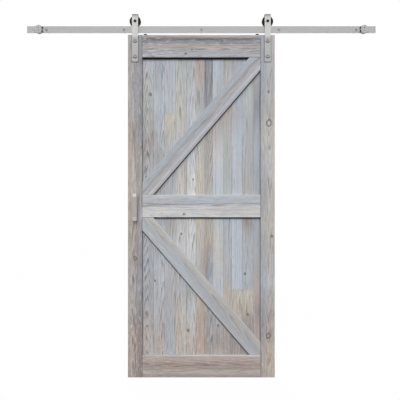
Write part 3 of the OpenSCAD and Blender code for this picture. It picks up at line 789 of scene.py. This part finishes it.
class BARN_OT_braces(bpy.types.Operator):
    """Stain the two slanting boards, whose washes lie in bands along them"""

    bl_idname = "barn.braces"
    bl_label = "Finish the Braces"

    def execute(self, context):
        # Each brace carries painted shade on its lower edge and painted light on its upper edge
        upper = Board(
            "upper_brace", "rises", ((0.02, "lavender"), (0.5, "blue_grey"), (0.95, "sage")),
            ((0.04, "blue_grey"), (0.28, "blue_grey"), (0.43, "slate"), (0.53, "grey"),
             (0.66, "lavender"), (0.80, "chalk"), (0.88, "lavender")), 0.78,
            accent="lavender", heart=(0, 30), taper=4, wear=0.7, lines=0.7, mottle=0.45,
            edges=(("soot", 0.7), ("chalk", 0.4)))
        lower = Board(
            "lower_brace", "falls", ((0.12, "umber"), (0.32, "umber"), (0.58, "grey"),
                                     (0.90, "grey")),
            ((0.04, "chalk"), (0.20, "cream"), (0.30, "grey"), (0.50, "blue_grey"),
             (0.80, "pale_blue"), (0.96, "pale_blue")), 0.60,
            heart=(12, 24), taper=-5, wear=0.7, lines=0.7, mottle=0.45,
            edges=(("soot", 0.35), ("chalk", 0.4)))
        for board in (upper, lower):
            dress(weathered_wood(board), board.node)
        return {"FINISHED"}


class BARN_OT_track(bpy.types.Operator):
    """Brush the track along its length and finish its spacers and end stops"""

    bl_idname = "barn.track"
    bl_label = "Finish the Track"

    def execute(self, context):
        metal = context.scene.barn_metal
        gap = metal.brush_gap
        dress(brushed_steel("brushed_track", metal.track_steel, (TRACK_BRUSH, gap, gap)), "track")
        dress(brushed_steel("brushed_spacer", metal.track_steel, (0.004, gap, 0.004)),
              *nodes_called("spacer"))
        middle = sum(corner[0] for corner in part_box("end_stop_right")) / 2
        stop = turned_steel("turned_stop", metal.stop_steel, lambda x: abs(x) - middle,
                            lambda z: z, gap=0.5 * MM, roughness=0.42, metallic=0.4)
        dress(stop, "end_stop_left", "end_stop_right")
        rubber = moulded("black_rubber", metal.rubber, roughness=0.70, grain=0.7 * MM,
                         specular=0.1)
        dress(rubber, "bumpers_left", "bumpers_right", "guard_disc_left", "guard_disc_right")
        black = brushed_steel("black_steel", metal.black_steel, (0.001, 0.003, 0.001),
                              roughness=0.5)
        dress(black, "clamp_screws", "guard_screws")
        return {"FINISHED"}


def joined(pieces):
    """One bmesh that holds all the given ones, which it frees."""
    whole = bmesh.new()
    for piece in pieces:
        held = bpy.data.meshes.new("held")
        piece.to_mesh(held)
        whole.from_mesh(held)
        bpy.data.meshes.remove(held)
        piece.free()
    return whole


def screw_thread(sizes, start, end, point):
    """A ridge wound about the Y axis from start to end, which fades out towards the point."""
    ridge = bmesh.new()
    core = sizes.core / 2 - RIDGE_SINK
    outer, half = sizes.thread / 2, sizes.pitch * RIDGE_HALF
    corners = [ridge.verts.new(place) for place in (
        (core, start - half, 0), (outer, start, 0), (core, start + half, 0))]
    ridge.faces.new(corners)
    count = int((end - start) / sizes.pitch * sizes.steps)
    bmesh.ops.spin(ridge, geom=corners + ridge.edges[:], cent=(0, 0, 0), axis=(0, 1, 0),
                   angle=count / sizes.steps * math.tau, steps=count,
                   dvec=(0, sizes.pitch / sizes.steps, 0), use_merge=False,
                   use_duplicate=False)
    bmesh.ops.edgenet_fill(ridge, edges=[edge for edge in ridge.edges if edge.is_boundary])
    for vert in ridge.verts:
        begun = (vert.co.y - start) / (sizes.pitch * TURNS_IN)
        left = (end - vert.co.y) / (sizes.pitch * TURNS_OUT)
        kept = max(0.0, min(1.0, left, begun))
        narrow = min(1.0, max(THINNEST, (point - vert.co.y) / sizes.point))
        out = math.hypot(vert.co.x, vert.co.z)
        wanted = (core + (out - core) * kept) * narrow
        vert.co.x *= wanted / out
        vert.co.z *= wanted / out
    return ridge


def screw_body(sizes, track_front, flange_r, tip):
    """The round flange, the smooth shank and the core of the thread, down to the point."""
    lathe = bmesh.new()
    flange_front = track_front - sizes.flange
    shank, core = sizes.shank / 2, sizes.core / 2
    outline = [(0, flange_front), (flange_r, flange_front), (flange_r, track_front),
               (shank, track_front), (shank, -1 * MM), (core, 0.6 * MM),
               (core, tip - sizes.point), (0, tip)]
    verts = [lathe.verts.new((radius, y, 0)) for radius, y in outline]
    edges = [lathe.edges.new(pair) for pair in zip(verts, verts[1:])]
    bmesh.ops.spin(lathe, geom=verts + edges, cent=(0, 0, 0), axis=(0, 1, 0), angle=math.tau,
                   steps=CORE_STEPS, dvec=(0, 0, 0), use_merge=True, use_duplicate=False)
    bmesh.ops.remove_doubles(lathe, verts=lathe.verts, dist=1e-6)
    return lathe


def screw_head(sizes, front, back):
    """A hexagon about the Y axis with its edges rounded."""
    head = bmesh.new()
    corner = sizes.flats / math.sqrt(3)
    bmesh.ops.create_cone(head, cap_ends=True, cap_tris=False, segments=6, radius1=corner,
                          radius2=corner, depth=back - front)
    turn = Matrix.Rotation(math.pi / 6, 3, "Y") @ Matrix.Rotation(math.pi / 2, 3, "X")
    bmesh.ops.rotate(head, verts=head.verts, cent=(0, 0, 0), matrix=turn)
    bmesh.ops.translate(head, verts=head.verts, vec=(0, (front + back) / 2, 0))
    bmesh.ops.bevel(head, geom=head.edges[:], offset=HEAD_ROUNDING, offset_type="OFFSET",
                    affect="EDGES", segments=2, profile=0.5, material=-1, clamp_overlap=True)
    return head


class BARN_OT_wall_screws(bpy.types.Operator):
    """Build the wall screws with real threads in the place of the plain ones"""

    bl_idname = "barn.wall_screws"
    bl_label = "Build the Wall Screws"

    def execute(self, context):
        sizes, metal = context.scene.barn_screws, context.scene.barn_metal
        low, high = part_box("wall_screws")
        track_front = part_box("track")[0][1]
        flange_r = (high[2] - low[2]) / 2
        pieces = []
        for spacer in nodes_called("spacer"):
            middle = sum(corner[0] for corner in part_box(spacer)) / 2
            made = (screw_head(sizes, low[1], track_front - sizes.flange),
                    screw_body(sizes, track_front, flange_r, high[1]),
                    screw_thread(sizes, THREAD_START, high[1] - THREAD_STOP, high[1]))
            for piece in made:
                bmesh.ops.recalc_face_normals(piece, faces=piece.faces)
                bmesh.ops.translate(piece, verts=piece.verts, vec=(middle, 0, 0))
            pieces += made
        whole = joined(pieces)
        for face in whole.faces:
            face.smooth = abs(face.normal.y) < 0.9 and face.calc_area() < SMALL_FACE
        mesh = bpy.data.meshes.new("wall_screws_threaded")
        whole.to_mesh(mesh)
        whole.free()
        mesh.materials.append(brushed_steel("screw_steel", metal.screw_steel,
                                            (0.001, 0.004, 0.001), roughness=0.4))
        screws = bpy.data.objects.new("wall_screws_threaded", mesh)
        context.scene.collection.objects.link(screws)
        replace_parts(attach(screws, "wall_track"), "wall_screws")
        return {"FINISHED"}


class BARN_OT_hangers(bpy.types.Operator):
    """Brush the strap hangers along their length and finish their bolts and nuts"""

    bl_idname = "barn.hangers"
    bl_label = "Finish the Hangers"

    def execute(self, context):
        metal = context.scene.barn_metal
        gap = metal.brush_gap
        door_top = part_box("left_stile")[1][2]

        side = sum(corner[0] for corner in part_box("hanger_right")) / 2
        fold_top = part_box("hanger_right")[1][2]
        low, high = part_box("strap_bolts")
        head_r = high[0] - side
        pitch = high[2] - low[2] - head_r * 2

        def beside(x):
            return abs(x) - side

        def above(z):
            return ((z - high[2] + head_r) / pitch + 0.5).fract() * pitch - pitch / 2

        # Painted shade on the straps: darker over the door and at the fold, a shadow under bolt heads
        def painted_shading(x, z):
            aside, up = beside(x), above(z)
            rim = (((aside * aside + up * up).root() - head_r) / metal.bolt_shadow - 0.5).bell()
            dull_from = door_top - metal.dull_below * 0.2
            on_door = z.smooth(door_top, dull_from)
            return ((z.smooth(dull_from, door_top - metal.dull_below) * 0.6, 0.62),
                    (z.smooth(fold_top - metal.fold * 2.6, fold_top - metal.fold * 0.5), 0.60),
                    (rim * up.smooth(0, -0.9 * head_r) * on_door, 0.06))

        strap = brushed_steel("brushed_strap", metal.strap_steel, (gap, STRAP_BRUSH, STRAP_BRUSH),
                              painted_shading=painted_shading)
        dress(strap, "hanger_left", "hanger_right")
        bolts = turned_steel("turned_bolts", metal.bolt_steel, beside, above, gap=0.4 * MM,
                             socket_shade=metal.socket)
        dress(bolts, "strap_bolts", "strap_nuts")
        height = sum(corner[2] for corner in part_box("axle_bolts")) / 2
        axle = turned_steel("dark_axle", metal.black_steel, beside,
                            lambda z: z - height, gap=0.5 * MM, roughness=0.45)
        dress(axle, "axle_bolts", "axle_nuts")
        bright = turned_steel("ground_steel", metal.bright_steel, beside,
                              lambda z: z - height, gap=0.3 * MM, roughness=0.18,
                              metallic=0.9)
        dress(bright, "axle_bushes", *nodes_called("bearing"))
        return {"FINISHED"}


class BARN_OT_wheels(bpy.types.Operator):
    """Give the grooved wheels their black nylon"""

    bl_idname = "barn.wheels"
    bl_label = "Finish the Wheels"

    def execute(self, context):
        nylon = moulded("black_nylon", context.scene.barn_metal.nylon, roughness=0.38,
                        grain=0.4 * MM, specular=0.3)
        dress(nylon, "wheel_left", "wheel_right")
        return {"FINISHED"}


class BARN_OT_handle(bpy.types.Operator):
    """Brush the pull handle and finish its posts and bolts"""

    bl_idname = "barn.handle"
    bl_label = "Finish the Handle"

    def execute(self, context):
        metal = context.scene.barn_metal
        gap = metal.brush_gap
        dress(brushed_steel("brushed_handle", metal.handle_steel, (gap, gap, HANDLE_BRUSH)),
              "handle_bar")
        low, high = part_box("handle_bolts")
        side, middle = (low[0] + high[0]) / 2, (low[2] + high[2]) / 2
        half = (high[2] - low[2] - high[0] + low[0]) / 2
        # The lower bolt gets painted shade, darker than the upper
        turned = turned_steel("turned_handle", metal.bright_steel, lambda x: x - side,
                              lambda z: abs(z - middle) - half, gap=0.4 * MM,
                              socket_shade=metal.socket * 0.7,
                              dull=lambda z: z.smooth(middle, middle - half) * 0.45)
        dress(turned, "handle_post_upper", "handle_post_lower", "handle_bolts", "handle_nuts")
        return {"FINISHED"}


def lamp(name, energy, rotation, angle):
    data = bpy.data.lights.new(name, "SUN")
    data.energy, data.angle = energy, math.radians(angle)
    made = bpy.data.objects.new(name, data)
    made.rotation_euler = [math.radians(value) for value in rotation]
    made.visible_glossy = False
    bpy.context.scene.collection.objects.link(made)


def seen_white(shade):
    """1 for the rays that only look at the background, 0 for those that light the door."""
    path = shade.node("LightPath")
    camera, glossy, through = [Term(shade, path.outputs[name]) for name in (
        "Is Camera Ray", "Is Glossy Ray", "Is Transmission Ray")]
    return shade.math("MINIMUM", camera + glossy + through, 1.0)


class BARN_OT_studio(bpy.types.Operator):
    """Set the pale floor, the soft lamps and the camera in front of the door"""

    bl_idname = "barn.studio"
    bl_label = "Set the Studio"

    def execute(self, context):
        studio = context.scene.barn_studio
        self.set_floor(context, studio)
        self.set_sky(context, studio)
        for name, setting, turn, width in LAMPS:
            lamp(name, getattr(studio, setting), turn, width)
        camera = bpy.data.cameras.new("camera")
        camera.lens, camera.sensor_width = studio.lens, SENSOR_WIDTH
        camera.clip_start, camera.clip_end = NEAREST, FURTHEST
        seat = bpy.data.objects.new("camera", camera)
        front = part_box("left_stile")[0][1]
        seat.location = (-studio.aside, front - studio.distance, -studio.below)
        seat.rotation_euler = (math.pi / 2, 0, 0)
        context.scene.collection.objects.link(seat)
        context.scene.camera = seat
        context.scene.view_settings.view_transform = "Standard"
        return {"FINISHED"}

    def set_floor(self, context, studio):
        mesh = bmesh.new()
        bmesh.ops.create_grid(mesh, x_segments=1, y_segments=1, size=FLOOR_HALF)
        bmesh.ops.translate(mesh, verts=mesh.verts, vec=(0, 0, CAD_BOX[0][2] - studio.floor_gap))
        data = bpy.data.meshes.new("studio_floor")
        mesh.to_mesh(data)
        mesh.free()
        floor = bpy.data.objects.new("studio_floor", data)
        context.scene.collection.objects.link(floor)
        shade = new_shade("pale_floor")
        matt = shade.node("BsdfDiffuse", None, {"Color": tuple(studio.floor)})
        white = shade.node("Emission", None, {"Color": (1, 1, 1), "Strength": FLOOR_WHITE})
        mixed = shade.node("MixShader", None, {
            0: seen_white(shade) * FLOOR_SHARE, 1: matt.outputs[0], 2: white.outputs[0]})
        shade.node("OutputMaterial", None, {0: mixed.outputs[0]})
        data.materials.append(shade.owner)

    def set_sky(self, context, studio):
        context.scene.world = bpy.data.worlds.new("soft_sky")
        sky = Shade(context.scene.world)
        plain = sky.node("Background", None, {"Color": (1, 1, 1), "Strength": studio.sky})
        up = sky.split(sky.node("TexCoord").outputs["Generated"])[2]
        bright = sky.node("Background", None, {
            "Color": (1, 1, 1),
            "Strength": 1 - up.smooth(DUSK_START, DUSK_END) * (1 - studio.zenith)})
        chosen = sky.node("MixShader", None, {
            0: seen_white(sky), 1: plain.outputs[0], 2: bright.outputs[0]})
        sky.node("OutputWorld", None, {0: chosen.outputs[0]})


class BARN_PT_panel(bpy.types.Panel):
    """Lists the settings and the steps that finish the door"""

    bl_label = "Barn Door"
    bl_idname = "BARN_PT_panel"
    bl_space_type = "VIEW_3D"
    bl_region_type = "UI"
    bl_category = "Barn Door"

    def draw(self, context):
        for name in SETTINGS:
            settings = getattr(context.scene, name)
            box = self.layout.box()
            for key in settings.bl_rna.properties.keys():
                if key not in ("rna_type", "name"):
                    box.prop(settings, key)
        for step in STEPS:
            self.layout.operator(step.bl_idname)


SETTINGS = {
    "barn_wood": WoodSettings,
    "barn_metal": MetalSettings,
    "barn_screws": ScrewSettings,
    "barn_studio": StudioSettings,
}
STEPS = (BARN_OT_studio, BARN_OT_planks, BARN_OT_stiles, BARN_OT_rails, BARN_OT_braces,
         BARN_OT_track, BARN_OT_wall_screws, BARN_OT_hangers, BARN_OT_wheels, BARN_OT_handle)


def register():
    for group in (*SETTINGS.values(), *STEPS, BARN_PT_panel):
        bpy.utils.register_class(group)
    for name, group in SETTINGS.items():
        setattr(bpy.types.Scene, name, PointerProperty(type=group))


def unregister():
    for name in SETTINGS:
        delattr(bpy.types.Scene, name)
    for group in reversed((*SETTINGS.values(), *STEPS, BARN_PT_panel)):
        bpy.utils.unregister_class(group)


def main():
    register()
    for step in STEPS:
        space, name = step.bl_idname.split(".")
        getattr(getattr(bpy.ops, space), name)()


if __name__ == "__main__":
    main()
